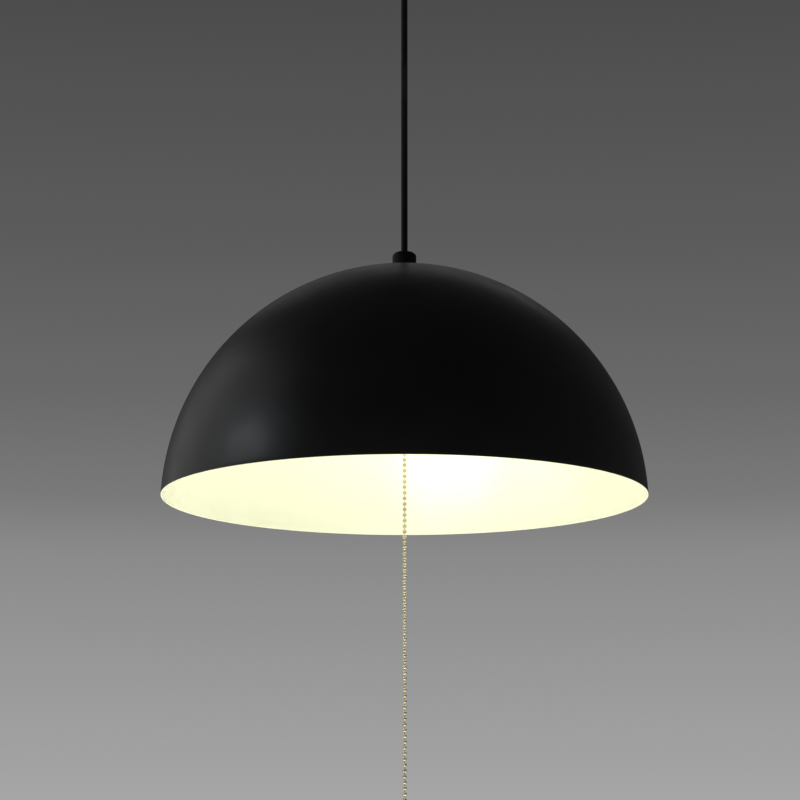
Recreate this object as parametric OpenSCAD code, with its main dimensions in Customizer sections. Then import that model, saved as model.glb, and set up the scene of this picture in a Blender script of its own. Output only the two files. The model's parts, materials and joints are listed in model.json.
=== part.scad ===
// Pendant ceiling light: domed metal shade on a flexible cord, with a pull-chain lampholder.
// Millimetres, +Z up. Z = 0 is the ceiling plane, and the lamp hangs down the Z axis.
// The switch and its pull chain are on the front side, -Y.

/* [Shade] */
// Diameter of the shade at its rim
shade_d = 380; // [340:1:400]
// Vertical half-axis of the dome's elliptical outline
dome_b = 192.5; // [185:0.5:200]
// How far the ellipse's centre lies below the rim
dome_sink = 8.5; // [6:0.5:12]
// Sheet thickness of the shade
shade_t = 1; // [0.8:0.1:1.2]
// Radius of the flat seat on the crown
crown_r = 16; // [15:0.5:18]
// Distance from the ceiling down to the rim
rim_drop = 480; // [470:1:520]

/* [Suspension] */
// Diameter of the suspension cord
cord_d = 5.2; // [5:0.1:5.3]
// Diameter of the black cap on the shade
cap_d = 19; // [18:0.5:21]
// Height of the black cap on the shade
cap_h = 15; // [15:0.5:18]

/* [Ceiling canopy] */
// Outer diameter of the canopy
canopy_d = 100; // [98:1:104]
// Height of the canopy
canopy_h = 42; // [42:1:45]
// Distance between the centres of the bracket's two screw slots
slot_spacing = 66; // [62:1:70]
// Length of each screw slot
slot_l = 14; // [10:1:16]
// Width of each screw slot
slot_w = 4.6; // [4:0.1:5]

/* [Lampholder and bulb] */
// Outer diameter of the lampholder's body
holder_d = 41; // [40:0.5:42]
// Inner diameter of the screw shell, for the standard 26 mm bulb cap
shell_d = 26.6; // [26.6:0.05:26.8]
// Largest diameter of the bulb
bulb_d = 60; // [55:1:62]
// Whole length of the bulb
bulb_l = 104; // [98:1:105]

/* [Pull chain] */
// Diameter of the beads
bead_d = 3.2; // [3:0.1:3.4]
// Distance from the lamp's axis to the chain
chain_y = 36; // [36:0.5:37]
// Distance from the ceiling down to the chain's lower end, above its connector
chain_end = 722; // [700:1:730]
// Diameter of the pull knob
knob_d = 11; // [9:0.5:13]
// Length of the pull knob
knob_l = 24; // [18:1:28]

/* [Hidden] */
$fn = 64;

// Clearances
fit = 0.05;
gap = 0.3;
eps = 0.01;

// Levels, measured from the ceiling plane
rim_z = -rim_drop;
shade_r = shade_d / 2;
dome_a = shade_r / sqrt(1 - pow(dome_sink / dome_b, 2));
crown_z = rim_z - dome_sink + dome_b * sqrt(1 - pow(crown_r / dome_a, 2));
cap_top = crown_z + cap_h;
cap_chamfer = 2.2;
nipple_top = crown_z + 6;
set_screw_z = cap_top - 4.5;
washer_z = crown_z - shade_t;
washer_t = 1.5;
nut_h = 4;
holder_top = washer_z - washer_t - nut_h - 1;

// Ceiling canopy
canopy_t = 1;
canopy_edge_r = 6;
bracket_t = 2;
bracket_w = 18;
ear_h = 13;
ear_z = -8;
ear_x = sqrt(pow(canopy_d / 2 - canopy_t, 2) - pow(bracket_w / 2, 2)) - gap;
tab_y = 30;
block_size = [20, 16, 12];
block_y = 13;
block_z = -bracket_t - 0.1;
pole_x = 5;
pole_z = block_z - 6;
grip_d = 19;
grip_h = 16;
thread_r = 4.95;
grip_top = -canopy_h + 6;
grip_mouth = -canopy_h - grip_h;
pivot_z = -canopy_h - 7;
grip_screw_z = -canopy_h - 3.5;
cord_break = 2;
stub_top = -24;
cord_r = cord_d / 2;
clamp_z = -32.5;
lead_d = 2;

// Lampholder levels
holder_r = holder_d / 2;
holder_cap_h = 22;
holder_l = 58;
seam = 0.1;
body_top = holder_top - 14;
body_bottom = holder_top - holder_l;
bore_r = shell_d / 2 + 0.7;
bore_top = body_bottom + 29;
shell_t = 0.4;
shell_top = bore_top - 2.6;
ring_t = 1.8;

// Switch
drum_y = -chain_y + 6;
drum_r = 6;
drum_z = holder_top - 32;
pad_y = -21.5;
house_x = 13;
house_wall = 1.5;
house_front = -chain_y - 7;
house_top = drum_z + 11;
house_bottom = drum_z - 11;
guide_bottom = house_bottom - 7;
axle_r = 1.5;
house_screw_x = 16.2;
chain_top = drum_z - 1;
chain_break = 0.4;
connector_l = 9;

// Bulb
button_top = bore_top - 1.2;
bulb_cap_r = shell_d / 2 - 0.2;
bulb_cap_top = button_top - 3.6;
bulb_cap_bottom = bulb_cap_top - 24;
bulb_bottom = button_top - bulb_l;

// Routes of the leads inside the canopy, from the end of the cord's sheath to the terminal block
live_route = [[-1.2, 0, -24], [-1.2, 0, -21.5], [-1.6, 0.6, -18.5], [-2.4, 2, -15.5], [-3.8, 4.6, -11.5],
    [-4.8, 8.6, -9], [-5, 11, -8.1], [-5, 13, -8.1]];
neutral_route = [for (p = live_route) [-p.x, p.y, p.z]];

// Routes of the leads in the lampholder, from the nipple's lower end to the terminals
holder_route = [for (p = [[-1.5, 0, 1.2], [-1.5, 0, -4.8], [-1.6, 0.2, -9.3], [-4, 1.8, -12],
    [-8, 3.4, -13.6], [-10.6, 4, -15.2], [-11, 4, -17.2]]) p + [0, 0, holder_top]];

// ---------- helpers ----------

function unit(v) = v / norm(v);
function tangent(path, i) = unit(path[min(i + 1, len(path) - 1)] - path[max(i - 1, 0)]);
function ring_point(centre, t, ref, r, a) =
    let (s = unit(cross(t, ref)), u = cross(s, t)) centre + r * (cos(a) * s + sin(a) * u);
function straight(top, bottom, step) =
    let (n = ceil((top - bottom) / step)) [for (i = [0:n]) [0, 0, top - (top - bottom) * i / n]];

// A round tube swept along a path, closed at both ends
module sweep(path, d, sides = 8, ref = [1, 0, 0]) {
    n = len(path);
    points = [for (i = [0:n - 1]) let (t = tangent(path, i)) for (k = [0:sides - 1])
        ring_point(path[i], t, ref, d / 2, 360 * k / sides)];
    walls = [for (i = [0:n - 2]) for (k = [0:sides - 1])
        let (a = i * sides + k, b = i * sides + (k + 1) % sides) [a, b, b + sides, a + sides]];
    first = [for (k = [sides - 1:-1:0]) k];
    last = [for (k = [0:sides - 1]) (n - 1) * sides + k];
    polyhedron(points, concat([first], walls, [last]), convexity = 4);
}

// A ring or tube about the Z axis, from z = low to z = high
module ring(outer, inner, low, high) {
    difference() {
        translate([0, 0, low]) cylinder(r = outer, h = high - low);
        translate([0, 0, low - 1]) cylinder(r = inner, h = high - low + 2);
    }
}

// A cylinder along X, from x = low to x = high
module rod_x(r, low, high) {
    translate([low, 0, 0]) rotate([0, 90, 0]) cylinder(r = r, h = high - low);
}

// A cylinder along Y, from y = low to y = high
module rod_y(r, low, high) {
    translate([0, low, 0]) rotate([-90, 0, 0]) cylinder(r = r, h = high - low);
}

// A box given by its lowest and highest corners
module box(low, high) {
    translate(low) cube(high - low);
}

// A slotted cheese-head screw along -Z, with the underside of its head at z = 0
module screw(shank_r, shank_l, head_r, head_h) {
    translate([0, 0, -shank_l]) cylinder(r = shank_r, h = shank_l + eps);
    difference() {
        cylinder(r = head_r, h = head_h);
        translate([-head_r, -head_r / 6, head_h / 2]) cube([2 * head_r, head_r / 3, head_h]);
    }
}

// ---------- ceiling set ----------

module ceiling_bracket() color("silver") {
    difference() {
        union() {
            box([-ear_x, -bracket_w / 2, -bracket_t], [ear_x, bracket_w / 2, 0]);
            box([-12, 0, -bracket_t], [12, tab_y, 0]);
            for (x = [-ear_x, ear_x - bracket_t])
                box([x, -bracket_w / 2, -ear_h], [x + bracket_t, bracket_w / 2, -eps]);
        }
        for (s = [-1, 1])
            translate([s * slot_spacing / 2, 0, -bracket_t - 1]) slot(slot_l, slot_w, bracket_t + 2);
        translate([0, 0, ear_z]) rod_x(2, -ear_x - 1, ear_x + 1);
    }
}

// A straight slot along X with round ends
module slot(length, width, depth) {
    for (s = [-1, 1]) translate([s * (length - width) / 2, 0, 0]) cylinder(d = width, h = depth);
    translate([-(length - width) / 2, -width / 2, 0]) cube([length - width, width, depth]);
}

module canopy() color("#141414") {
    outer = canopy_d / 2;
    e = canopy_edge_r;
    inner_e = e - canopy_t;
    difference() {
        rotate_extrude() polygon(concat(
            [[thread_r + 0.2, -canopy_h]],
            [for (a = [-90:15:0]) [outer - e + e * cos(a), e - canopy_h + e * sin(a)]],
            [[outer, 0], [outer - canopy_t, 0]],
            [for (a = [0:-15:-90]) [outer - e + inner_e * cos(a), e - canopy_h + inner_e * sin(a)]],
            [[thread_r + 0.2, canopy_t - canopy_h]]));
        translate([0, 0, ear_z]) rod_x(2.2, -outer - 1, outer + 1);
    }
}

module canopy_screws() color("#1c1c1c") {
    for (s = [-1, 1])
        translate([s * canopy_d / 2, 0, ear_z]) rotate([0, s * 90, 0]) screw(2 - fit, 6, 3.6, 2.2);
}

module terminal_block() color("ivory") {
    difference() {
        translate([-block_size.x / 2, block_y, block_z - block_size.z]) cube(block_size);
        for (s = [-1, 1]) {
            translate([s * pole_x, 0, pole_z]) rod_y(2.2, block_y - 1, block_y + block_size.y + 1);
            for (y = [4, 12])
                translate([s * pole_x, block_y + y, block_z - block_size.z - 1]) cylinder(r = 1.7, h = 7);
        }
    }
}

module terminal_tubes() color("goldenrod") {
    for (s = [-1, 1]) translate([s * pole_x, 0, pole_z]) difference() {
        rod_y(2.15, block_y + 1, block_y + block_size.y - 1);
        rod_y(1.2, block_y, block_y + block_size.y);
    }
}

module terminal_screws() color("silver") {
    for (s = [-1, 1], y = [4, 12]) translate([s * pole_x, block_y + y, block_z - block_size.z + 0.5]) {
        difference() {
            cylinder(r = 1.6, h = 3);
            translate([-2, -0.25, -eps]) cube([4, 0.5, 0.8]);
        }
    }
}

module lead_live() color("saddlebrown") sweep(live_route, lead_d);

module lead_neutral() color("royalblue") sweep(neutral_route, lead_d);

module cord_clamp() color("white") {
    difference() {
        box([-9, -5, clamp_z - 3.5], [9, 5, clamp_z + 3.5]);
        translate([0, 0, clamp_z - 5]) cylinder(r = cord_r + fit, h = 10);
        for (s = [-1, 1]) translate([s * 6, 0, clamp_z]) rod_y(1.3, -6, 6);
        box([-10, -0.4, clamp_z - 5], [-cord_r, 0.4, clamp_z + 5]);
        box([cord_r, -0.4, clamp_z - 5], [10, 0.4, clamp_z + 5]);
    }
}

module clamp_screws() color("silver") {
    for (s = [-1, 1]) translate([s * 6, -5 - eps, clamp_z]) rotate([90, 0, 0]) screw(1.25, 9, 2.4, 1.6);
}

// The cord grip's mouth flares, so that the cord can swing without a kink
module cord_grip() color("#141414") {
    difference() {
        rotate_extrude() polygon([
            [cord_r + 0.1, grip_top], [thread_r, grip_top], [thread_r, -canopy_h], [grip_d / 2, -canopy_h],
            [grip_d / 2, grip_mouth + 1.5], [grip_d / 2 - 1, grip_mouth], [7.6, grip_mouth],
            [3.1, pivot_z], [cord_r + 0.1, pivot_z + 0.5]]);
        translate([0, 0, grip_screw_z]) rod_y(1.5 + fit, cord_r, grip_d / 2 + 1);
    }
}

module grip_nut() color("silver") {
    difference() {
        translate([0, 0, canopy_t - canopy_h]) cylinder(r = 9, h = 4, $fn = 6);
        translate([0, 0, -canopy_h]) cylinder(r = thread_r + fit, h = 7);
    }
}

module grip_screw() color("#1c1c1c") {
    translate([0, 0, grip_screw_z]) rod_y(1.5, cord_r + fit, grip_d / 2 - 0.5);
}

module cord_stub() color("#101010") {
    sweep(straight(stub_top, pivot_z, 12.5), cord_d, 12);
}

// ---------- suspension and shade ----------

module suspension_cord() color("#101010") sweep(straight(pivot_z - cord_break, crown_z + 3, 13), cord_d, 12);

module cord_cap() color("#101010") {
    r = cap_d / 2;
    bore = 4.2;
    recess_top = nipple_top + 0.5;
    lip = 2;
    difference() {
        rotate_extrude() polygon([
            [thread_r + fit, crown_z], [r - 0.4, crown_z], [r, crown_z + 0.4], [r, cap_top - cap_chamfer],
            [r - 0.3, cap_top - cap_chamfer + 0.4], [r - cap_chamfer, cap_top - 0.3],
            [r - cap_chamfer - 0.5, cap_top], [cord_r + 0.15, cap_top], [cord_r + 0.15, cap_top - lip],
            [bore, cap_top - lip], [bore, recess_top], [thread_r + fit, recess_top]]);
        translate([0, 0, set_screw_z]) rod_y(1.5 + fit, 3, r + 1);
    }
}

module cap_screw() color("#1c1c1c") {
    translate([0, 0, set_screw_z]) rod_y(1.5, 4.2, cap_d / 2 - 0.4);
}

module cord_collet() color("white") ring(4.15, cord_r + fit, cap_top - 7, cap_top - 2.1);

module threaded_nipple() color("goldenrod") ring(thread_r, 3.3, crown_z - 16, nipple_top);

// Outline of the dome between the rim and the crown, as radius and height, for a sheet offset inwards
function dome_line(inset, first, last, n) = [for (i = [0:n])
    let (a = first + (last - first) * i / n)
    [(dome_a - inset) * cos(a), rim_z - dome_sink + (dome_b - inset) * sin(a)]];

module shade() color("#101010") {
    steps = 30;
    outer = dome_line(0, asin(dome_sink / dome_b), acos(crown_r / dome_a), steps);
    inner = dome_line(shade_t, asin(dome_sink / (dome_b - shade_t)), acos(crown_r / (dome_a - shade_t)), steps);
    hole_r = thread_r + 0.25;
    rotate_extrude($fn = 128) polygon(concat(
        outer,
        [[hole_r, crown_z], [hole_r, crown_z - shade_t]],
        [for (i = [steps:-1:0]) inner[i]]));
}

module crown_washer() color("silver") ring(15, thread_r + 0.25, washer_z - washer_t, washer_z - 0.02);

module shade_nut() color("silver") {
    difference() {
        translate([0, 0, washer_z - washer_t - nut_h]) cylinder(r = 8.5, h = nut_h - 0.02, $fn = 6);
        translate([0, 0, washer_z - washer_t - nut_h - 1]) cylinder(r = thread_r + fit, h = nut_h + 2);
    }
}

// ---------- lampholder ----------

module holder_cap() color("#e8e4da") {
    rotate_extrude() polygon([
        [thread_r + fit, holder_top], [8, holder_top], [8.6, holder_top - 5], [15.5, holder_top - 7.5],
        [holder_r - 1, holder_top - 10.5], [holder_r, holder_top - 13.5], [holder_r, holder_top - holder_cap_h],
        [holder_r - 1.3, holder_top - holder_cap_h], [holder_r - 1.3, holder_top - 13.5],
        [14.8, holder_top - 9.5], [8, holder_top - 7.5], [thread_r + fit, holder_top - 7.5]]);
}

module holder_body() color("#e8e4da") {
    pad_x = 19;
    seam_z = holder_top - holder_cap_h - seam;
    difference() {
        union() {
            ring(holder_r - 1.5, 15.5, bore_top + 8, body_top);
            translate([0, 0, bore_top + 4]) cylinder(r = holder_r - 1.5, h = 4.5);
            translate([0, 0, body_bottom]) cylinder(r = holder_r, h = seam_z - body_bottom);
            box([-pad_x, pad_y, house_bottom], [pad_x, 0, seam_z]);
        }
        translate([0, 0, body_bottom - 1]) cylinder(r = bore_r, h = bore_top - body_bottom + 1);
        for (s = [-1, 1]) {
            translate([s * house_screw_x, 0, drum_z]) rod_y(1.25, pad_y - 1, pad_y + 7);
            translate([s * 11, 4, bore_top]) cylinder(r = 1.55, h = 20);
            translate([s * 10.5, -3, bore_top - 1]) cylinder(r = 1.3, h = 6);
        }
        translate([0, 6, bore_top - 1]) cylinder(r = 1.55, h = 30);
    }
}

module holder_leads() color("dimgray") {
    for (s = [-1, 1]) scale([s, 1, 1]) sweep(holder_route, lead_d);
}

module holder_terminals() color("goldenrod") {
    for (s = [-1, 1]) translate([s * 11, 4, bore_top + 9.5]) screw(1.5, 6, 2.8, 2);
}

module screw_shell() color("goldenrod") {
    outer = shell_d / 2 + shell_t;
    difference() {
        union() {
            ring(outer, shell_d / 2, body_bottom + 1, shell_top + shell_t);
            ring(outer - eps, 8.5, shell_top, shell_top + shell_t);
        }
        for (s = [-1, 1]) translate([s * 10.5, -3, shell_top - 1]) cylinder(r = 1.25, h = 3);
    }
}

module shell_rivets() color("goldenrod") {
    for (s = [-1, 1]) translate([s * 10.5, -3, shell_top + shell_t]) {
        cylinder(r = 1.2, h = 6);
        cylinder(r = 2, h = bore_top - shell_top - shell_t - 0.05);
    }
}

module centre_contact() color("goldenrod") {
    translate([0, 6, bore_top - 0.9]) cylinder(r = 1.5, h = 12);
    box([-3, -4, button_top + 0.1], [3, 8.5, button_top + 0.6]);
}

module retaining_ring() color("#e8e4da") {
    r = holder_r + 0.1;
    difference() {
        union() {
            ring(r + ring_t, r, body_bottom - 1.5, body_bottom + 11);
            ring(r + ring_t / 2, 15, body_bottom - 1.5, body_bottom - 0.02);
        }
        for (a = [0:15:345])
            rotate(a) translate([r + ring_t + 0.5, 0, body_bottom + 2]) cylinder(r = 0.9, h = 12, $fn = 24);
    }
}

// ---------- switch ----------

module switch_housing() color("#e8e4da") {
    w = house_wall;
    difference() {
        union() {
            box([-house_x, house_front, house_bottom], [house_x, pad_y - 0.02, house_top]);
            for (s = [-1, 1]) translate([s * house_screw_x, 0, drum_z]) rod_y(3.6, pad_y - 2.5, pad_y - 0.02);
            box([-house_screw_x, pad_y - 2.5, drum_z - 3.6], [house_screw_x, pad_y - 0.02, drum_z + 3.6]);
        }
        box([w - house_x, house_front + w, house_bottom + w], [house_x - w, pad_y + 1, house_top - w]);
        translate([0, drum_y, drum_z]) rod_x(axle_r + fit, -house_x - 1, house_x + 1);
        translate([0, -chain_y, house_bottom - 1]) cylinder(r = 3.5 + fit, h = w + 2);
        for (s = [-1, 1]) translate([s * house_screw_x, 0, drum_z]) rod_y(1.6, pad_y - 4, pad_y + 1);
    }
}

module housing_screws() color("silver") {
    for (s = [-1, 1])
        translate([s * house_screw_x, pad_y - 2.5 - eps, drum_z]) rotate([90, 0, 0]) screw(1.2, 8, 2.6, 1.8);
}

// Brass bush that the chain leaves through, with a bell mouth
module chain_guide() color("goldenrod") {
    r = bead_d / 2 + 0.7;
    floor_z = house_bottom + house_wall;
    translate([0, -chain_y, 0]) rotate_extrude() polygon([
        [r, floor_z + 0.6], [4.6, floor_z + 0.6], [4.6, floor_z + fit], [3.5, floor_z + fit],
        [3.5, house_bottom - fit], [4.3, house_bottom - fit], [4.3, house_bottom - 1.5],
        [3.4, house_bottom - 2.5], [3.4, guide_bottom + 2], [4.6, guide_bottom],
        [r + 1.4, guide_bottom], [r, guide_bottom + 2.5]]);
}

module switch_axle() color("silver") {
    translate([0, drum_y, drum_z]) rod_x(axle_r, -house_x - 0.6, house_x + 0.6);
}

module contact_blades() color("#c98a4b") {
    for (x = [7.2, 9.4]) box([x, pad_y - 0.7, drum_z - 8], [x + 1.4, pad_y - 0.1, drum_z + 8]);
}

module return_spring() color("silver") {
    turns = 4;
    coil_r = 3.4;
    steps = 14;
    route = [for (i = [0:turns * steps]) let (a = 360 * i / steps)
        [-5.2 - 1.25 * i / steps, drum_y + coil_r * cos(a), drum_z + coil_r * sin(a)]];
    sweep(route, 0.8, 6);
}

// The chain wraps the drum's groove, and turns it as it is pulled
module pull_drum() color("#f2efe6") {
    translate([0, drum_y, drum_z]) rotate([0, 90, 0]) rotate_extrude() polygon([
        [axle_r + 0.06, -4], [7.6, -4], [7.6, -2.6], [drum_r - 1.9, -1.9], [drum_r - 1.9, 1.9],
        [7.6, 2.6], [7.6, 4], [axle_r + 0.06, 4]]);
}

module drum_beads() color("goldenrod") {
    for (a = [25, 66]) translate([0, drum_y, drum_z]) rotate([-a, 0, 0]) translate([0, -drum_r, 0])
        sphere(d = bead_d, $fn = 24);
}

// Ratchet wheel with eight teeth, and the square cam that lifts the contact blades
module contact_rotor() color("#8a3b1e") {
    teeth = 8;
    translate([0, drum_y, drum_z]) rotate([0, 90, 0]) difference() {
        union() {
            translate([0, 0, 4.6]) linear_extrude(2) polygon([for (i = [0:teeth - 1], k = [0, 1])
                (k == 0 ? 7.2 : 5.4) * [cos(360 * (i + k * 0.1) / teeth), sin(360 * (i + k * 0.1) / teeth)]]);
            translate([0, 0, 6.5]) cylinder(r = 6.4, h = 4.3, $fn = 4);
        }
        translate([0, 0, 4]) cylinder(r = axle_r + 0.06, h = 8);
    }
}

// ---------- pull chain ----------

function chain_line(top, bottom, step) = [for (p = straight(top, bottom, step)) p - [0, chain_y, 0]];

module chain_tail() color("goldenrod") sweep(chain_line(chain_top, guide_bottom + chain_break, 8), bead_d, 8);

module pull_chain() color("goldenrod") sweep(chain_line(guide_bottom - chain_break, -chain_end, 8), bead_d, 8);

module chain_connector() color("goldenrod") {
    top = -chain_end;
    translate([0, -chain_y, 0]) rotate_extrude() polygon([
        [0, top], [1.9, top], [2.6, top - 1.2], [2.6, top - 6], [1.7, top - 7.2],
        [1.7, top - connector_l], [0, top - connector_l]]);
}

module pull_knob() color("#141414") {
    top = -chain_end - connector_l;
    r = knob_d / 2;
    l = knob_l;
    translate([0, -chain_y, top]) rotate_extrude() polygon(concat(
        [[0, 0], [2.2, 0], [2.6, -0.06 * l], [3, -0.2 * l]],
        [for (a = [60:-15:-75]) [r * cos(a), -0.66 * l + 0.34 * l * sin(a)]],
        [[0, -l]]));
}

// ---------- bulb ----------

module contact_button() color("silver") {
    translate([0, 0, button_top - 1]) cylinder(r1 = 4.8, r2 = 4, h = 1);
}

module cap_insulator() color("#1a1a1a") {
    translate([0, 0, bulb_cap_top + 0.05]) cylinder(r1 = 9.5, r2 = 5, h = 2.4);
}

module bulb_cap() color("silver") {
    r = bulb_cap_r;
    rotate_extrude() polygon([
        [r, bulb_cap_bottom], [r, bulb_cap_top - 1.8], [r - 1.5, bulb_cap_top - 0.4], [9.5, bulb_cap_top],
        [9.5, bulb_cap_top - 0.5], [r - 2, bulb_cap_top - 1], [r - 0.5, bulb_cap_top - 2.4],
        [r - 0.5, bulb_cap_bottom]]);
}

// Outline of the bulb below its cap: a neck that curves out into a round end
function bulb_line(inset) =
    let (r = bulb_d / 2, cz = bulb_bottom + r, neck = bulb_cap_r - 0.6, top = bulb_cap_bottom + 1.5)
    concat(
        [[neck - inset, top]],
        [for (i = [0:8]) let (u = i / 8, z = top - 1 + (cz + 8 - top + 1) * u, s = u * u * (3 - 2 * u))
            [neck + (sqrt(r * r - 64) - neck) * s - inset, z]],
        [for (a = [6:-8:-82]) [(r - inset) * cos(a), cz + (r - inset) * sin(a)]]);

module bulb_glass() color("ivory", 0.8) {
    t = 0.8;
    outer = bulb_line(0);
    inner = bulb_line(t);
    rotate_extrude() polygon(concat(
        outer, [[0, bulb_bottom], [0, bulb_bottom + t]], [for (i = [len(inner) - 1:-1:0]) inner[i]]));
}

module bulb_stem() color("lightgray", 0.6) {
    rotate_extrude() polygon([
        [0, bulb_cap_bottom + 1], [7, bulb_cap_bottom + 1], [5, bulb_cap_bottom - 4], [2, bulb_cap_bottom - 12],
        [1.6, bulb_cap_bottom - 46], [2.4, bulb_cap_bottom - 48], [0, bulb_cap_bottom - 49]]);
}

module bulb_filaments() color("khaki") {
    for (a = [45:90:315])
        rotate(a) translate([10, 0, bulb_cap_bottom - 46]) rotate([0, 8, 0]) cylinder(r = 0.9, h = 34);
}

ceiling_bracket();
canopy();
canopy_screws();
terminal_block();
terminal_tubes();
terminal_screws();
lead_live();
lead_neutral();
cord_clamp();
clamp_screws();
cord_grip();
grip_nut();
grip_screw();
cord_stub();
suspension_cord();
cord_cap();
cap_screw();
cord_collet();
threaded_nipple();
shade();
crown_washer();
shade_nut();
holder_cap();
holder_body();
holder_leads();
holder_terminals();
screw_shell();
shell_rivets();
centre_contact();
retaining_ring();
switch_housing();
housing_screws();
chain_guide();
switch_axle();
contact_blades();
return_spring();
pull_drum();
drum_beads();
contact_rotor();
chain_tail();
pull_chain();
chain_connector();
pull_knob();
contact_button();
cap_insulator();
bulb_cap();
bulb_glass();
bulb_stem();
bulb_filaments();
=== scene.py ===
"""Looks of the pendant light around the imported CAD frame: shade, cord, bead chain, lampholder and bulb."""
import json
import math

import bmesh
import bpy
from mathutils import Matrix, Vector


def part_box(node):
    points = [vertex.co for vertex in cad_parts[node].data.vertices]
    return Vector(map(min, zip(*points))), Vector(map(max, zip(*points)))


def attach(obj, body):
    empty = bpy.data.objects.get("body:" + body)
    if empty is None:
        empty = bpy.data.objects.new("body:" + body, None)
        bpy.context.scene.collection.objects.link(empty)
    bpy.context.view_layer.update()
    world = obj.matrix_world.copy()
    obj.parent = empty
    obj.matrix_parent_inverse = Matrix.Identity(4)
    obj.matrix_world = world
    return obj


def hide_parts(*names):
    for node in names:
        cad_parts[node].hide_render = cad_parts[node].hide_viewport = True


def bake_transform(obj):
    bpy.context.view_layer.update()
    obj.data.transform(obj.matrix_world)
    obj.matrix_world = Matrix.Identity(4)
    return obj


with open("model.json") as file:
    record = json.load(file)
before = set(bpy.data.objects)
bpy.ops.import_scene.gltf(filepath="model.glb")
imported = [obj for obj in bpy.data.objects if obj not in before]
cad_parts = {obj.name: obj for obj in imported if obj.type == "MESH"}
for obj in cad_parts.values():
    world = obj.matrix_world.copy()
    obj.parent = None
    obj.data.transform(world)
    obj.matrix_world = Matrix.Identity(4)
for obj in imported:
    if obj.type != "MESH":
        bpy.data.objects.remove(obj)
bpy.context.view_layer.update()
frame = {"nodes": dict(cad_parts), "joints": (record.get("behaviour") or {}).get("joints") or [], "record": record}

MM = 0.001

# ---------------------------------------------------------------- places, read from the frame
shade_low, shade_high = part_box("shade")
RIM_Z = shade_low.z
RIM_R = (shade_high.x - shade_low.x) / 2
CROWN_Z = shade_high.z
canopy_low, canopy_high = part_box("canopy")
CANOPY_R = (canopy_high.x - canopy_low.x) / 2
cap_low, cap_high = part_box("cord_cap")
CAP_R = (cap_high.x - cap_low.x) / 2
grip_low, grip_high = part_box("cord_grip")
GRIP_R = (grip_high.x - grip_low.x) / 2
chain_low, chain_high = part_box("pull_chain")
tail_low, tail_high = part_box("chain_tail")
CHAIN_Y = (chain_low.y + chain_high.y) / 2
bulb_low, bulb_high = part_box("bulb_glass")
BULB_R = (bulb_high.x - bulb_low.x) / 2
JOINTS = {joint["name"]: joint for joint in frame["joints"]}


# ---------------------------------------------------------------- camera
CAMERA_DISTANCE = 1.973  # metres in front of the lamp's axis
CAMERA_DROP = 0.328  # metres below the rim
CAMERA_SIDE = -0.0035  # metres beside the axis
CAMERA_PITCH = 11.645  # degrees upwards
LENS_MM = 115.05
SENSOR_MM = 36


def make_camera():
    """Camera on the photograph's side, below the rim and looking up."""
    data = bpy.data.cameras.new("camera")
    data.lens = LENS_MM
    data.sensor_width = SENSOR_MM
    data.clip_end = 100
    camera = bpy.data.objects.new("camera", data)
    camera.location = (CAMERA_SIDE, -CAMERA_DISTANCE, RIM_Z - CAMERA_DROP)
    camera.rotation_euler = (math.radians(90 + CAMERA_PITCH), 0, 0)
    bpy.context.scene.collection.objects.link(camera)
    bpy.context.scene.camera = camera


make_camera()


# ---------------------------------------------------------------- mesh helpers
POLE_R = 1e-7
WELD_DISTANCE = 0.002 * MM


def new_object(name, vertices, faces, materials=(), sharp_angle=35):
    """A mesh object with smooth faces and sharp creases past sharp_angle degrees."""
    mesh = bpy.data.meshes.new(name)
    mesh.from_pydata([tuple(v) for v in vertices], [], faces)
    for material in materials:
        mesh.materials.append(material)
    bm = bmesh.new()
    bm.from_mesh(mesh)
    bmesh.ops.recalc_face_normals(bm, faces=bm.faces)
    crease(bm, sharp_angle)
    bm.to_mesh(mesh)
    bm.free()
    obj = bpy.data.objects.new(name, mesh)
    bpy.context.scene.collection.objects.link(obj)
    return obj


def crease(bm, sharp_angle):
    """Smooths all faces and marks the edges past sharp_angle degrees as sharp."""
    for face in bm.faces:
        face.smooth = True
    for edge in bm.edges:
        edge.smooth = edge.calc_face_angle(0) < math.radians(sharp_angle)


def weld(obj):
    """Joins points that coincide and removes the faces that this leaves without an area."""
    bm = bmesh.new()
    bm.from_mesh(obj.data)
    bmesh.ops.remove_doubles(bm, verts=bm.verts, dist=WELD_DISTANCE)
    bmesh.ops.dissolve_degenerate(bm, edges=bm.edges, dist=WELD_DISTANCE)
    bm.to_mesh(obj.data)
    bm.free()


def lathe(name, profile, centre=(0, 0), segments=96, closed=True, materials=(), sharp_angle=35):
    """Turns a profile of (radius, z) points about a vertical line.

    A radius of 0 closes to a pole. With closed set, the last point joins the first, unless one is a pole.
    """
    vertices, rows = [], []
    for radius, z in profile:
        if radius < POLE_R:
            rows.append([len(vertices)])
            vertices.append((centre[0], centre[1], z))
            continue
        rows.append(list(range(len(vertices), len(vertices) + segments)))
        for k in range(segments):
            angle = 2 * math.pi * k / segments
            vertices.append((centre[0] + radius * math.cos(angle), centre[1] + radius * math.sin(angle), z))
    faces = []
    pairs = list(zip(rows, rows[1:]))
    if closed and len(rows[0]) > 1 and len(rows[-1]) > 1:
        pairs.append((rows[-1], rows[0]))
    for a, b in pairs:
        faces += band(a, b, segments)
    return new_object(name, vertices, faces, materials, sharp_angle)


def band(a, b, segments):
    """Faces between two rows of a turned surface, either of which may be a pole."""
    found = []
    for k in range(segments):
        n = (k + 1) % segments
        if len(a) == 1 and len(b) == 1:
            continue
        if len(a) == 1:
            found.append((a[0], b[n], b[k]))
        elif len(b) == 1:
            found.append((a[k], a[n], b[0]))
        else:
            found.append((a[k], a[n], b[n], b[k]))
    return found


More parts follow.
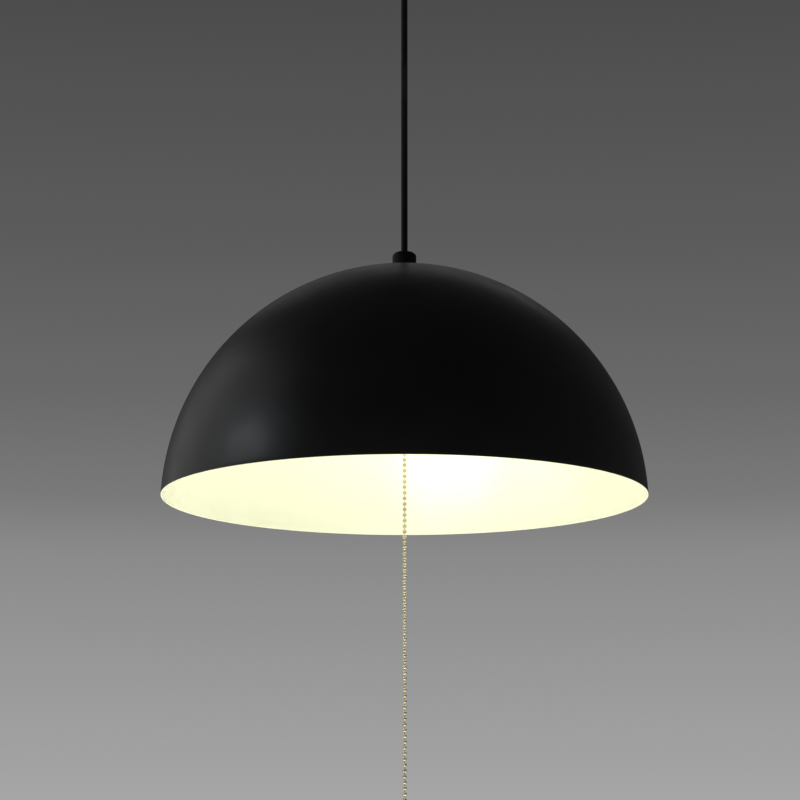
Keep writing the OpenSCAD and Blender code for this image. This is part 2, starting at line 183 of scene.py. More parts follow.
def rounded(points, radius, steps=4):
    """Replaces every inner corner of an open outline by a small curve of about that radius."""
    result = [points[0]]
    for before, corner, after in zip(points, points[1:], points[2:]):
        p, c, n = Vector(before), Vector(corner), Vector(after)
        cut = min(radius, (p - c).length * 0.45, (n - c).length * 0.45)
        start = c + (p - c).normalized() * cut
        end = c + (n - c).normalized() * cut
        for i in range(steps + 1):
            t = i / steps
            result.append(tuple(start * (1 - t) ** 2 + c * (2 * t * (1 - t)) + end * t ** 2))
    result.append(points[-1])
    return result


def place(obj, body, slot, *nodes):
    """obj rides on a body and stands for CAD nodes, which it hides. slot is not used."""
    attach(obj, body)
    if nodes:
        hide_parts(*nodes)
    return obj


def rod_along_y(name, layers, centre_z, sides, materials=()):
    """Closed rod along Y from layers of (y, reach). reach gives the distance from the axis at an angle."""
    vertices, faces = [], []
    for y, reach in layers:
        for k in range(sides):
            angle = 2 * math.pi * k / sides
            vertices.append((reach(angle) * math.cos(angle), y, centre_z + reach(angle) * math.sin(angle)))
    rows = [range(i * sides, (i + 1) * sides) for i in range(len(layers))]
    for a, b in zip(rows, rows[1:]):
        faces += band(a, b, sides)
    return new_object(name, vertices, faces + [tuple(rows[0]), tuple(rows[-1])], materials)


def circle(radius):
    return lambda angle: radius


def hexagon(radius):
    """A hexagon whose flats are radius from its centre."""
    return lambda angle: radius / math.cos(angle % (math.pi / 3) - math.pi / 6)


def cut_screw_hole(obj, node):
    """Cuts the hole that a set screw along Y lies in, out through the +Y side of obj."""
    low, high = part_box(node)
    play, ahead, past = 0.05 * MM, 0.5 * MM, 2 * MM
    reach = circle((high.x - low.x) / 2 + play)
    cutter = rod_along_y("cutter", [(low.y - ahead, reach), (high.y + past, reach)], (low.z + high.z) / 2, 32)
    modifier = obj.modifiers.new("hole", "BOOLEAN")
    modifier.object = cutter
    modifier.operation = "DIFFERENCE"
    modifier.solver = "EXACT"
    bpy.context.view_layer.update()
    evaluated = obj.evaluated_get(bpy.context.evaluated_depsgraph_get())
    mesh = bpy.data.meshes.new_from_object(evaluated)
    obj.modifiers.clear()
    obj.data = mesh
    weld(obj)
    bpy.data.objects.remove(cutter)


def make_set_screw(name, node, body):
    """Small set screw along Y with a hexagonal socket in its +Y end."""
    low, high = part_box(node)
    radius, edge = (high.x - low.x) / 2, 0.2 * MM
    socket_r, socket_depth = 0.7 * MM, 1.2 * MM
    full, end, socket = circle(radius), circle(radius - edge), hexagon(socket_r)
    layers = [(low.y, end), (low.y + edge, full), (high.y - edge, full), (high.y, end), (high.y, socket),
              (high.y - socket_depth, socket)]
    screw = rod_along_y(name, layers, (low.z + high.z) / 2, 24, [BLACK_SCREW])
    place(screw, body, "black_screw", node)


# ---------------------------------------------------------------- material helpers
def node_tree(name):
    """A new material with its node tree and its Principled shader."""
    material = bpy.data.materials.new(name)
    material.use_nodes = True
    tree = material.node_tree
    return material, tree, tree.nodes["Principled BSDF"]


def noise(tree, scale, detail=3, stretch=(1, 1, 1)):
    """Noise in the object's own metres, stretched along chosen axes."""
    place_in = tree.nodes.new("ShaderNodeTexCoord")
    mapping = tree.nodes.new("ShaderNodeMapping")
    mapping.inputs["Scale"].default_value = stretch
    texture = tree.nodes.new("ShaderNodeTexNoise")
    texture.inputs["Scale"].default_value = scale
    texture.inputs["Detail"].default_value = detail
    tree.links.new(place_in.outputs["Object"], mapping.inputs["Vector"])
    tree.links.new(mapping.outputs["Vector"], texture.inputs["Vector"])
    return texture.outputs["Fac"]


def remap(tree, value, low, high, from_low=0.3, from_high=0.7):
    """The value, moved from one range to another."""
    node = tree.nodes.new("ShaderNodeMapRange")
    node.inputs["From Min"].default_value = from_low
    node.inputs["From Max"].default_value = from_high
    node.inputs["To Min"].default_value = low
    node.inputs["To Max"].default_value = high
    tree.links.new(value, node.inputs["Value"])
    return node.outputs["Result"]


def two_colours(tree, value, first, second, low=0.35, high=0.65):
    """A ramp from one colour to another."""
    ramp = tree.nodes.new("ShaderNodeValToRGB")
    ramp.color_ramp.elements[0].position = low
    ramp.color_ramp.elements[0].color = (*first, 1)
    ramp.color_ramp.elements[1].position = high
    ramp.color_ramp.elements[1].color = (*second, 1)
    tree.links.new(value, ramp.inputs["Fac"])
    return ramp.outputs["Color"]


def bump(tree, shader, value, strength, distance):
    node = tree.nodes.new("ShaderNodeBump")
    node.inputs["Strength"].default_value = strength
    node.inputs["Distance"].default_value = distance
    tree.links.new(value, node.inputs["Height"])
    tree.links.new(node.outputs["Normal"], shader.inputs["Normal"])


def finish_of(name, first, second, rough, metallic=0, patch=60, grain=900, grain_depth=0.00002,
              stretch=(1, 1, 1), coat=0, strength=0.3, specular=0.5):
    """A finish with two slightly different colours in patches, uneven gloss and a fine grain."""
    material, tree, shader = node_tree(name)
    shader.inputs["Metallic"].default_value = metallic
    shader.inputs["Coat Weight"].default_value = coat
    shader.inputs["Coat Roughness"].default_value = 0.12
    shader.inputs["Specular IOR Level"].default_value = specular
    patches = noise(tree, patch, 4)
    tree.links.new(two_colours(tree, patches, first, second), shader.inputs["Base Color"])
    gloss_per_patch = 2.3
    gloss = noise(tree, patch * gloss_per_patch, 5, stretch)
    tree.links.new(remap(tree, gloss, rough[0], rough[1]), shader.inputs["Roughness"])
    bump(tree, shader, noise(tree, grain, 3, stretch), strength, grain_depth)
    return material


def emission(material, colour, strength):
    shader = material.node_tree.nodes["Principled BSDF"]
    shader.inputs["Emission Color"].default_value = (*colour, 1)
    shader.inputs["Emission Strength"].default_value = strength


# ---------------------------------------------------------------- materials
BLACK_ENAMEL = finish_of("black_enamel", (0.0045, 0.0045, 0.005), (0.0065, 0.0065, 0.007), (0.34, 0.42),
                         patch=14, grain=1400, grain_depth=0.00003, strength=0.12, specular=0.3)
WHITE_ENAMEL = finish_of("white_enamel", (0.86, 0.86, 0.84), (0.9, 0.9, 0.88), (0.36, 0.44),
                         patch=16, grain=1200, grain_depth=0.00003, strength=0.1)
CANOPY_BLACK = finish_of("canopy_black", (0.006, 0.006, 0.0065), (0.01, 0.01, 0.011), (0.36, 0.46),
                         patch=30, grain=1400, grain_depth=0.00003, strength=0.15)
BLACK_PLASTIC = finish_of("black_plastic", (0.007, 0.007, 0.008), (0.011, 0.011, 0.012), (0.55, 0.66),
                          patch=120, grain=3500, grain_depth=0.00004, strength=0.25, specular=0.12)
BLACK_SCREW = finish_of("black_screw", (0.015, 0.015, 0.016), (0.03, 0.03, 0.032), (0.3, 0.45), 0.6,
                        patch=400, grain=4000)
CORD_BLACK = finish_of("cord_black", (0.006, 0.006, 0.0065), (0.01, 0.01, 0.0105), (0.55, 0.66),
                       patch=60, grain=2600, grain_depth=0.00004, stretch=(1, 1, 0.06), strength=0.3,
                       specular=0.12)
ZINC = finish_of("zinc_steel", (0.5, 0.51, 0.52), (0.66, 0.66, 0.64), (0.28, 0.46), 1,
                 patch=120, grain=1800, stretch=(0.15, 1, 1))
BRASS = finish_of("brass", (0.62, 0.45, 0.2), (0.74, 0.56, 0.28), (0.2, 0.34), 1, patch=150, grain=2200)
CHAIN_BRASS = finish_of("chain_brass", (0.62, 0.53, 0.38), (0.72, 0.65, 0.51), (0.36, 0.48), 0.85,
                        patch=260, grain=4000, grain_depth=0.00001)
BRONZE = finish_of("bronze", (0.55, 0.3, 0.16), (0.68, 0.42, 0.24), (0.25, 0.4), 1, patch=200, grain=2000)
NICKEL = finish_of("nickel", (0.6, 0.59, 0.56), (0.7, 0.69, 0.66), (0.16, 0.3), 1, patch=180, grain=2600)
HOLDER_WHITE = finish_of("holder_white", (0.74, 0.71, 0.63), (0.8, 0.77, 0.7), (0.26, 0.36),
                         patch=80, grain=1600, coat=0.15)
WHITE_PLASTIC = finish_of("white_plastic", (0.78, 0.78, 0.75), (0.85, 0.85, 0.82), (0.4, 0.52),
                          patch=120, grain=2600)
BROWN_PVC = finish_of("brown_pvc", (0.14, 0.06, 0.025), (0.19, 0.09, 0.04), (0.3, 0.42),
                      patch=200, grain=3000)
BLUE_PVC = finish_of("blue_pvc", (0.03, 0.1, 0.36), (0.05, 0.14, 0.44), (0.3, 0.42), patch=200, grain=3000)
PHENOLIC = finish_of("phenolic", (0.26, 0.07, 0.03), (0.34, 0.11, 0.05), (0.34, 0.5), patch=260, grain=2600)
VITRITE = finish_of("vitrite", (0.008, 0.008, 0.012), (0.02, 0.02, 0.026), (0.08, 0.16), patch=300, grain=900)
FILAMENT = finish_of("filament", (0.9, 0.6, 0.2), (1.0, 0.75, 0.3), (0.5, 0.6), patch=900, grain=3000)
CLEAR_GLASS = finish_of("clear_glass", (0.9, 0.93, 0.93), (0.96, 0.97, 0.97), (0.02, 0.06),
                        patch=60, grain=300)
CLEAR_GLASS.node_tree.nodes["Principled BSDF"].inputs["Transmission Weight"].default_value = 0.9
FROSTED = finish_of("frosted_glass", (0.9, 0.88, 0.82), (0.94, 0.92, 0.87), (0.5, 0.6), patch=50, grain=2400)

LIGHT_COLOUR = (0.98, 1.0, 0.66)
BULB_STRENGTH = 3.5
emission(FROSTED, LIGHT_COLOUR, BULB_STRENGTH)

MATERIAL_OF_SLOT = {
    "zinc_steel": ZINC, "black_enamel": BLACK_ENAMEL, "canopy_black": CANOPY_BLACK,
    "black_screw": BLACK_SCREW, "black_plastic": BLACK_PLASTIC, "cord_black": CORD_BLACK,
    "white_plastic": WHITE_PLASTIC,
    "holder_white": HOLDER_WHITE, "brown_pvc": BROWN_PVC, "blue_pvc": BLUE_PVC, "brass": BRASS,
    "chain_brass": CHAIN_BRASS, "bronze": BRONZE, "phenolic": PHENOLIC, "nickel": NICKEL, "vitrite": VITRITE,
    "frosted_glass": FROSTED, "clear_glass": CLEAR_GLASS, "filament": FILAMENT,
}


def paint_cad_nodes():
    """Gives every carried-over CAD node the material of its slot in the record."""
    slots = {entry["node"]: entry["material_slot"] for entry in frame["record"]["subparts"]}
    for name, obj in frame["nodes"].items():
        obj.data.materials.clear()
        obj.data.materials.append(MATERIAL_OF_SLOT[slots[name]])


paint_cad_nodes()


# ---------------------------------------------------------------- suspension cord
CORD_D = 5.2 * MM
CORD_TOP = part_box("cord_stub")[1].z
CORD_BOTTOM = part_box("suspension_cord")[0].z
PIVOT_Z = JOINTS["pendant_swing"]["pos_m"][2]


def make_cord():
    """The cord, from the clamp in the canopy to the cap on the shade."""
    rings, rings_per_point = 120, 6
    levels = [CORD_TOP + (CORD_BOTTOM - CORD_TOP) * i / rings for i in range(rings + 1)]
    profile = [(0, CORD_TOP)] + [(CORD_D / 2, z) for z in levels] + [(0, CORD_BOTTOM)]
    cord = lathe("cord", profile, segments=24, closed=False, materials=[CORD_BLACK], sharp_angle=60)
    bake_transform(cord)
    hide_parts("suspension_cord", "cord_stub")


make_cord()


# ---------------------------------------------------------------- pull chain
BEAD_R = 1.6 * MM
LINK_R = 0.3 * MM
BEAD_PITCH = 4.32 * MM


def bead_outline(top, bottom):
    """Outline of a row of beads and the short rods between them, from top to bottom."""
    count = int((top - bottom) / BEAD_PITCH)
    arcs, pole_angle, rod_start = 8, 74, BEAD_R * 1.01
    outline = [(0, top)]
    first = top - BEAD_R
    for i in range(count):
        centre = first - i * BEAD_PITCH
        for k in range(arcs + 1):
            angle = math.radians(pole_angle * (1 - 2 * k / arcs))
            outline.append((BEAD_R * math.cos(angle), centre + BEAD_R * math.sin(angle)))
        if i < count - 1:
            outline.append((LINK_R, centre - rod_start))
            outline.append((LINK_R, centre - BEAD_PITCH + rod_start))
    outline.append((LINK_R, bottom))
    outline.append((0, bottom))
    return outline


def make_chain():
    """The hanging chain, with its connector and knob, and the short stretch of it inside the switch."""
    top, bottom = chain_high.z, chain_low.z
    chain = lathe("bead_chain", bead_outline(top, bottom), (0, CHAIN_Y), 16, False, [CHAIN_BRASS], 50)
    place(chain, "chain", "chain_brass", "pull_chain")
    tail = lathe("bead_chain_tail", bead_outline(tail_high.z, tail_low.z), (0, CHAIN_Y), 16, False,
                 [CHAIN_BRASS], 50)
    place(tail, "chain_top", "chain_brass", "chain_tail")
    connector, knob = make_connector(bottom), make_knob()


def make_connector(top):
    """The small bell that joins the chain's last bead to the knob."""
    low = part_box("chain_connector")[0].z
    h = top - low
    outline = [(0, top), (1.1 * MM, top), (1.9 * MM, top - 0.05 * h), (2.5 * MM, top - 0.16 * h),
               (2.6 * MM, top - 0.3 * h), (2.6 * MM, top - 0.62 * h), (2.3 * MM, top - 0.72 * h),
               (1.7 * MM, top - 0.8 * h), (1.7 * MM, low), (0, low)]
    bell = lathe("connector_bell", rounded(outline, 0.35 * MM), (0, CHAIN_Y), 32, False, [CHAIN_BRASS])
    return place(bell, "chain", "chain_brass", "chain_connector")


def make_knob():
    """The turned black drop at the end of the chain."""
    low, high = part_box("pull_knob")
    top, h, r = high.z, high.z - low.z, (high.x - low.x) / 2
    outline = [(0, top), (2.2 * MM, top), (2.6 * MM, top - 0.05 * h), (2.2 * MM, top - 0.09 * h),
               (2.7 * MM, top - 0.2 * h)]
    arcs, drop_half, first_angle, last_angle = 18, 0.34 * h, 62, -90
    for k in range(arcs + 1):
        angle = math.radians(first_angle + (last_angle - first_angle) * k / arcs)
        outline.append((max(r * math.cos(angle), 0), low.z + drop_half * (1 + math.sin(angle))))
    outline.append((0, low.z))
    knob = lathe("drop_knob", rounded(outline, 0.4 * MM, 2), (0, CHAIN_Y), 48, False, [BLACK_PLASTIC], 40)
    return place(knob, "chain", "black_plastic", "pull_knob")


make_chain()


# ---------------------------------------------------------------- shade
DOME_SINK = 8.5 * MM  # the half ellipse's centre below the rim
DOME_B = 192.5 * MM  # its half height
SHEET = 1.0 * MM
CROWN_R = 16 * MM  # flat seat for the cap
HOLE_R = 5.2 * MM


def dome_outline(inset, steps):
    """Points of the dome from the rim to the edge of the crown's flat seat."""
    a = RIM_R / math.sqrt(1 - (DOME_SINK / DOME_B) ** 2) - inset
    b = DOME_B - inset
    first = math.asin(DOME_SINK / b)
    last = math.acos(CROWN_R / a)
    angles = [first + (last - first) * i / steps for i in range(steps + 1)]
    return [(a * math.cos(t), RIM_Z - DOME_SINK + b * math.sin(t)) for t in angles]


def make_shade():
    """Spun steel dome with a rounded edge: black outside, white inside and over the edge."""
    steps = 72
    outer = [p for p in dome_outline(0, steps) if p[1] > RIM_Z + SHEET / 2]
    inner = [p for p in dome_outline(SHEET, steps) if p[1] > RIM_Z + SHEET / 2]
    edge_r = RIM_R - SHEET / 2
    edge = []
    for degrees in range(0, -181, -20):
        angle = math.radians(degrees)
        edge.append((edge_r + SHEET / 2 * math.cos(angle), RIM_Z + SHEET / 2 * (1 + math.sin(angle))))
    step_in = 0.6 * MM
    crown = [(outer[-1][0] - step_in, CROWN_Z), (HOLE_R, CROWN_Z), (HOLE_R, CROWN_Z - SHEET),
             (inner[-1][0] - step_in, CROWN_Z - SHEET)]
    profile = outer[::-1] + edge + inner + crown[::-1]
    shade = lathe("dome_shade", profile, segments=224, materials=[BLACK_ENAMEL, WHITE_ENAMEL], sharp_angle=50)
    for face in shade.data.polygons:
        faces_in = face.normal.x * face.center.x + face.normal.y * face.center.y < 0
        face.material_index = 1 if faces_in or face.normal.z < -0.3 else 0
    place(shade, "pendant", "black_enamel", "shade")


make_shade()


# ---------------------------------------------------------------- cap on the crown
def make_cap():
    """Black cap that grips the cord, with a soft shoulder."""
    hole = CORD_D / 2 + 0.15 * MM
    nipple_bore = HOLE_R - 0.2 * MM
    nipple_top = cap_low.z + 6.5 * MM
    collet_bore = 4.2 * MM
    roof = cap_high.z - 2 * MM
    shoulder_w, shoulder_h = 2.4 * MM, 2.2 * MM
    outline = [(nipple_bore, cap_low.z), (CAP_R, cap_low.z), (CAP_R, cap_high.z - shoulder_h),
               (CAP_R - shoulder_w, cap_high.z), (hole, cap_high.z), (hole, roof), (collet_bore, roof),
               (collet_bore, nipple_top), (nipple_bore, nipple_top)]
    cap = lathe("crown_cap", rounded(outline, 0.6 * MM, 5), segments=96, materials=[BLACK_PLASTIC])
    cut_screw_hole(cap, "cap_screw")
    place(cap, "pendant", "black_plastic", "cord_cap")


make_cap()
make_set_screw("cap_set_screw", "cap_screw", "pendant")


# ---------------------------------------------------------------- canopy and cord grip
def make_canopy():
    """Cup that covers the bracket and the wiring."""
    wall = 1 * MM
    r, low, high = CANOPY_R, canopy_low.z, canopy_high.z
    hole = 5.15 * MM
    outer = rounded([(hole, low), (r, low), (r, high)], 7 * MM, 12)
    inner = rounded([(r - wall, high), (r - wall, low + wall), (hole, low + wall)], 6 * MM, 12)
    cup = lathe("canopy_cup", outer + inner, segments=128, materials=[CANOPY_BLACK])
    place(cup, "ceiling_set", "canopy_black", "canopy")


def make_grip():
    """Cord grip under the canopy, with a flared mouth for the swinging cord."""
    low, high, r = grip_low.z, grip_high.z, GRIP_R
    face = canopy_low.z
    stub = 4.95 * MM
    throat = CORD_D / 2 + 0.1 * MM
    chamfer_w, chamfer_h = 1.2 * MM, 1.6 * MM
    mouth, flare, flare_h, narrow = 7.6 * MM, 5 * MM, 5 * MM, 3.1 * MM
    outline = [(throat, high), (stub, high), (stub, face), (r, face), (r, low + chamfer_h),
               (r - chamfer_w, low), (mouth, low), (flare, low + flare_h), (narrow, PIVOT_Z),
               (throat, PIVOT_Z + 1 * MM)]
    grip = lathe("cord_grip_body", rounded(outline, 0.6 * MM, 4), segments=96, materials=[BLACK_PLASTIC])
    cut_screw_hole(grip, "grip_screw")
    place(grip, "ceiling_set", "black_plastic", "cord_grip")


make_canopy()
make_grip()
make_set_screw("grip_set_screw", "grip_screw", "ceiling_set")


# ---------------------------------------------------------------- lampholder and switch
def make_holder_cap():
    """Domed cap of the lampholder, with softened steps."""
    low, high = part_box("holder_cap")
    r, top = high.x, high.z
    bore, wall = 5 * MM, 1.3 * MM
    collar_r, foot_r, shoulder_r = 8 * MM, 8.6 * MM, 15.5 * MM
    roof, skirt = top - 7.5 * MM, top - 13.5 * MM
    outer = [(bore, top), (collar_r, top), (foot_r, top - 5 * MM), (shoulder_r, roof),
             (r - 1 * MM, top - 10.5 * MM), (r, skirt), (r, low.z), (r - wall, low.z)]
    inner = [(r - wall, skirt), (14.8 * MM, top - 9.5 * MM), (collar_r, roof), (bore, roof)]
    cap = lathe("lampholder_cap", rounded(outer + inner, 0.8 * MM, 4), segments=96, materials=[HOLDER_WHITE])
    place(cap, "pendant", "holder_white", "holder_cap")


def make_retaining_ring():
    """Ring at the lampholder's mouth, with finger flutes round its outside."""
    low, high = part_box("retaining_ring")
    r, wall, lip_r = high.x, 1.8 * MM, 15 * MM
    lip_top, taper_w, taper_h = low.z + 1.48 * MM, 0.9 * MM, 2.4 * MM
    flutes, flute_depth, flute_start = 24, 0.5 * MM, low.z + 3 * MM
    outline = [(lip_r, low.z), (r - taper_w, low.z), (r, low.z + taper_h), (r, high.z), (r - wall, high.z),
               (r - wall, lip_top), (lip_r, lip_top)]
    ring = lathe("fluted_ring", rounded(outline, 0.5 * MM, 4), segments=240, materials=[HOLDER_WHITE])
    for vertex in ring.data.vertices:
        x, y, z = vertex.co
        radius = math.hypot(x, y)
        share = max(0, min(1, (z - flute_start) / MM)) * max(0, 1 - (r - radius) / taper_w)
        wave = (0.5 + 0.5 * math.cos(flutes * math.atan2(y, x))) ** 2
        scale = 1 - flute_depth * share * wave / radius
        vertex.co.x, vertex.co.y = x * scale, y * scale
    place(ring, "pendant", "holder_white", "retaining_ring")


def pillow(half_x, back, front, half_z, centre_z, corner, edge, offset):
    """Vertices and faces of a closed plate with rounded corners and a rounded front edge.

    offset is the number of the plate's first vertex in the mesh that it joins.
    """
    steps, edge_steps, smallest = 6, 5, 0.2 * MM
    layers = [(back, 0)]
    for i in range(edge_steps + 1):
        turn = math.pi / 2 * i / edge_steps
        layers.append((front + edge * (1 - math.sin(turn)), edge * (1 - math.cos(turn))))
    vertices, faces = [], []
    for y, inset in layers:
        radius = max(corner - inset, smallest)
        for quarter, (sx, sz) in enumerate(((1, 1), (-1, 1), (-1, -1), (1, -1))):
            for i in range(steps + 1):
                angle = math.pi / 2 * (quarter + i / steps)
                vertices.append((sx * (half_x - inset - radius) + radius * math.cos(angle), y,
                                 centre_z + sz * (half_z - inset - radius) + radius * math.sin(angle)))
    around = 4 * (steps + 1)
    rows = [range(offset + i * around, offset + (i + 1) * around) for i in range(len(layers))]
    for a, b in zip(rows, rows[1:]):
        faces += band(a, b, around)
    return vertices, faces + [tuple(rows[0]), tuple(rows[-1])]


def make_switch_housing():
    """Moulded switch box on the lampholder's front, on a strap with two rounded ears."""
    low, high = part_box("switch_housing")
    centre_z, half_z = (low.z + high.z) / 2, (high.z - low.z) / 2
    box_half, ear_r, strap_front = 13 * MM, 3.6 * MM, high.y - 2.48 * MM
    body, body_faces = pillow(box_half, high.y, low.y, half_z, centre_z, 2.5 * MM, 1.6 * MM, 0)
    strap, strap_faces = pillow(high.x, high.y, strap_front, ear_r, centre_z, ear_r, 0.6 * MM, len(body))
    housing = new_object("switch_box", body + strap, body_faces + strap_faces, [HOLDER_WHITE], 40)
    weld(housing)
    place(housing, "pendant", "holder_white", "switch_housing")


def make_chain_guide():
    """Brass bush with a bell mouth, where the chain leaves the switch."""
    low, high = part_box("chain_guide")
    bore, flange_r, stem_r, collar_r, neck_r, mouth_r = (x * MM for x in (2.3, 4.6, 3.45, 4.3, 3.4, 3.7))
    flange_bottom = high.z - 0.5 * MM
    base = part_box("switch_housing")[0].z
    collar_top, collar_bottom, neck_top = base - 0.05 * MM, base - 1.5 * MM, base - 2.5 * MM
    outline = [(bore, high.z), (flange_r, high.z), (flange_r, flange_bottom), (stem_r, flange_bottom),
               (stem_r, collar_top), (collar_r, collar_top), (collar_r, collar_bottom), (neck_r, neck_top),
               (neck_r, low.z + 2 * MM), (flange_r, low.z), (mouth_r, low.z), (bore, low.z + 2.5 * MM)]
    guide = lathe("chain_bush", rounded(outline, 0.35 * MM, 4), (0, CHAIN_Y), 64, True, [BRASS])
    place(guide, "pendant", "brass", "chain_guide")


make_holder_cap()
make_retaining_ring()
make_switch_housing()
make_chain_guide()


# ---------------------------------------------------------------- bulb
def bulb_outline(inset):
    """Pear shape from the neck down to the pole, drawn in by inset."""
    top, centre = bulb_high.z, bulb_low.z + BULB_R
    neck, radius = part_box("bulb_cap")[1].x - 0.6 * MM - inset, BULB_R - inset
    rise = 8 * MM  # height above the ball's centre at which the neck begins
    wide, first_angle = math.sqrt(radius ** 2 - rise ** 2), math.asin(rise / radius)
    outline = []
    neck_steps, ball_steps = 24, 32
    for i in range(neck_steps):
        u = i / neck_steps
        outline.append((neck + (wide - neck) * u * u * (3 - 2 * u), top + (centre + rise - top) * u))
    for k in range(ball_steps):
        angle = first_angle - (math.pi / 2 + first_angle) * k / ball_steps
        outline.append((radius * math.cos(angle), centre + radius * math.sin(angle)))
    return outline + [(0, centre - radius)]


def make_bulb():
    """Frosted pear-shaped glass with a wall of its own."""
    wall = 0.8 * MM
    outline = bulb_outline(0) + bulb_outline(wall)[::-1]
    glass = lathe("bulb_envelope", outline, segments=96, materials=[FROSTED])
    place(glass, "bulb", "frosted_glass", "bulb_glass")


def make_bulb_cap():
    """Nickel screw cap with a rolled thread."""
    low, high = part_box("bulb_cap")
    pitch, depth, wall = 3.629 * MM, 0.75 * MM, 0.3 * MM
    shoulder_h, shoulder_w = 2 * MM, 3 * MM
    thread_low, thread_high = low.z + 2.5 * MM, high.z - shoulder_h
    segments, rows = 72, 72
    vertices, faces = [], []
    for i, inset in [(i, 0) for i in range(rows + 1)] + [(i, wall) for i in range(rows, -1, -1)]:
        z = low.z + (high.z - low.z) * i / rows
        fade = max(0, min(1, (z - thread_low) / pitch, (thread_high - z) / pitch))
        shoulder = max(0, (z - thread_high) / shoulder_h)
        for k in range(segments):
            angle = 2 * math.pi * k / segments
            wave = 0.5 - 0.5 * math.cos(2 * math.pi * (z / pitch) - angle)
            radius = high.x - depth * wave * fade - shoulder ** 2 * shoulder_w - inset
            vertices.append((radius * math.cos(angle), radius * math.sin(angle), z))
    rings = [range(i * segments, (i + 1) * segments) for i in range(2 * (rows + 1))]
    for a, b in zip(rings, rings[1:] + rings[:1]):
        faces += band(a, b, segments)
    cap = new_object("bulb_screw_cap", vertices, faces, [NICKEL], 60)
    place(cap, "bulb", "nickel", "bulb_cap")


make_bulb()
make_bulb_cap()


# ---------------------------------------------------------------- floor, world and lights
FLOOR_Z = -2.4


def make_floor():
    """Plain pale floor that glows a little, so that it isn't dark in views from the side."""
    half = 60
    vertices = [(x * half, y * half, FLOOR_Z) for x, y in ((-1, -1), (1, -1), (1, 1), (-1, 1))]
    material, tree, shader = node_tree("floor")
    tree.links.new(two_colours(tree, noise(tree, 1.2, 3), (0.6, 0.6, 0.6), (0.64, 0.64, 0.64)),
                   shader.inputs["Base Color"])
    shader.inputs["Roughness"].default_value = 0.85
    shader.inputs["Emission Color"].default_value = (1, 1, 1, 1)
    shader.inputs["Emission Strength"].default_value = 0.3
    floor = new_object("floor", vertices, [(0, 1, 2, 3)], [material])


# Grey of the studio by the sine of the height above the horizon: the backdrop, and the light that it gives
BACKDROP = [(-1.0, 0.42), (-0.2, 0.42), (0.0475, 0.381), (0.1435, 0.254), (0.1628, 0.195), (0.2013, 0.144),
            (0.2583, 0.107), (0.35, 0.0723), (0.6, 0.05), (1.0, 0.045)]
STUDIO_LIGHT = [(-1.0, 0.3), (0.0, 0.1), (0.15, 0.06), (1.0, 0.05)]


def grey_ramp(tree, height, stops):
    """A grey that follows a height from -1 to 1, through the given stops."""
    ramp = tree.nodes.new("ShaderNodeValToRGB")
    tree.links.new(remap(tree, height, 0, 1, -1, 1), ramp.inputs["Fac"])
    elements = ramp.color_ramp.elements
    for z, grey in stops[1:-1]:
        elements.new((z + 1) / 2).color = (grey, grey, grey, 1)
    for element, (_, grey) in ((elements[0], stops[0]), (elements[-1], stops[-1])):
        element.color = (grey, grey, grey, 1)
    return ramp.outputs["Color"]


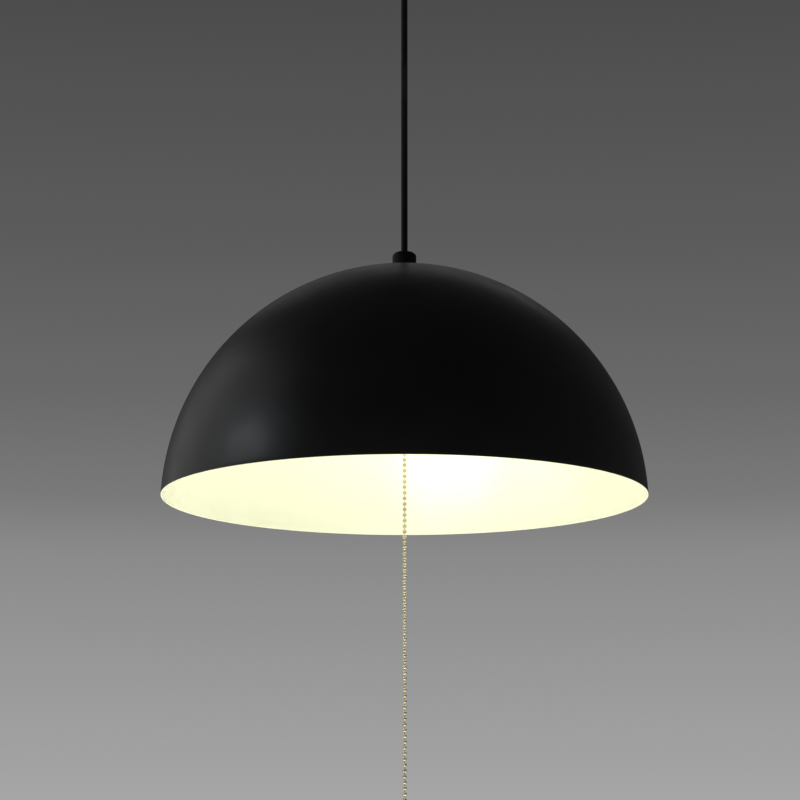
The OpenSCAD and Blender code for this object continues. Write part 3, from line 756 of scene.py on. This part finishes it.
def make_world():
    """The backdrop's greys for the camera, and plainer studio light for everything else."""
    world = bpy.data.worlds.new("studio")
    bpy.context.scene.world = world
    world.use_nodes = True
    tree = world.node_tree
    seen = tree.nodes["Background"]
    lit = tree.nodes.new("ShaderNodeBackground")
    split = tree.nodes.new("ShaderNodeSeparateXYZ")
    tree.links.new(tree.nodes.new("ShaderNodeTexCoord").outputs["Generated"], split.inputs["Vector"])
    tree.links.new(grey_ramp(tree, split.outputs["Z"], BACKDROP), seen.inputs["Color"])
    tree.links.new(grey_ramp(tree, split.outputs["Z"], STUDIO_LIGHT), lit.inputs["Color"])
    choose = tree.nodes.new("ShaderNodeMixShader")
    rays = tree.nodes.new("ShaderNodeLightPath")
    tree.links.new(rays.outputs["Is Camera Ray"], choose.inputs["Fac"])
    tree.links.new(lit.outputs["Background"], choose.inputs[1])
    tree.links.new(seen.outputs["Background"], choose.inputs[2])
    tree.links.new(choose.outputs["Shader"], tree.nodes["World Output"].inputs["Surface"])


def aimed_light(name, data, position, target):
    """Puts a light at a position, pointing at a target."""
    light = bpy.data.objects.new(name, data)
    light.location = position
    light.rotation_euler = (Vector(target) - Vector(position)).to_track_quat("-Z", "Y").to_euler()
    bpy.context.scene.collection.objects.link(light)
    return light


def area_light(name, position, target, size, power, colour=(1, 1, 1)):
    data = bpy.data.lights.new(name, "AREA")
    data.shape = "RECTANGLE"
    data.size, data.size_y = size
    data.energy = power
    data.color = colour
    aimed_light(name, data, position, target).visible_camera = False


def spot_light(name, position, target, power, width, blend, soft):
    data = bpy.data.lights.new(name, "SPOT")
    data.energy = power
    data.spot_size = math.radians(width)
    data.spot_blend = blend
    data.shadow_soft_size = soft
    return aimed_light(name, data, position, target)


def hot_spot(name, power, width, target):
    """Part of the brightest patch on the back of the shade, to the right of the chain."""
    beside_bulb = (0.04, 0.02, RIM_Z + 0.075)
    light = spot_light(name, beside_bulb, target, power, width, 1, 0.01)
    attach(light, "pendant")


make_floor()
make_world()

# Studio lights, then a light down into the canopy and the bright patch inside the shade
area_light("side_softbox", (-2.2, 1.2, 0.6), (0, 1.2, 0.6), (3.6, 2.8), 17)
area_light("window", (-1.57, -0.417, 0.148), (-0.112, -0.151, -0.462), (0.5, 0.25), 2.6, (0.86, 0.93, 1.0))
area_light("rear_softbox", (0, 2.2, 1.4), (0, 0, -0.35), (2, 1), 1.4)
area_light("low_softbox", (0, 0, FLOOR_Z + 0.1), (0, 0, -0.4), (2, 2), 52, (0.99, 1.0, 0.565))
spot_light("canopy_spot", (0.5, -0.7, 1.5), (0, 0, 0), 70, 5, 0.3, 0.05)
hot_spot("hot_spot_core", 0.3, 44, (0.037, 0.18, RIM_Z + 0.066))
hot_spot("hot_spot_spread", 0.14, 120, (0.06, 0.18, RIM_Z + 0.045))
bpy.context.scene.view_settings.view_transform = "Standard"
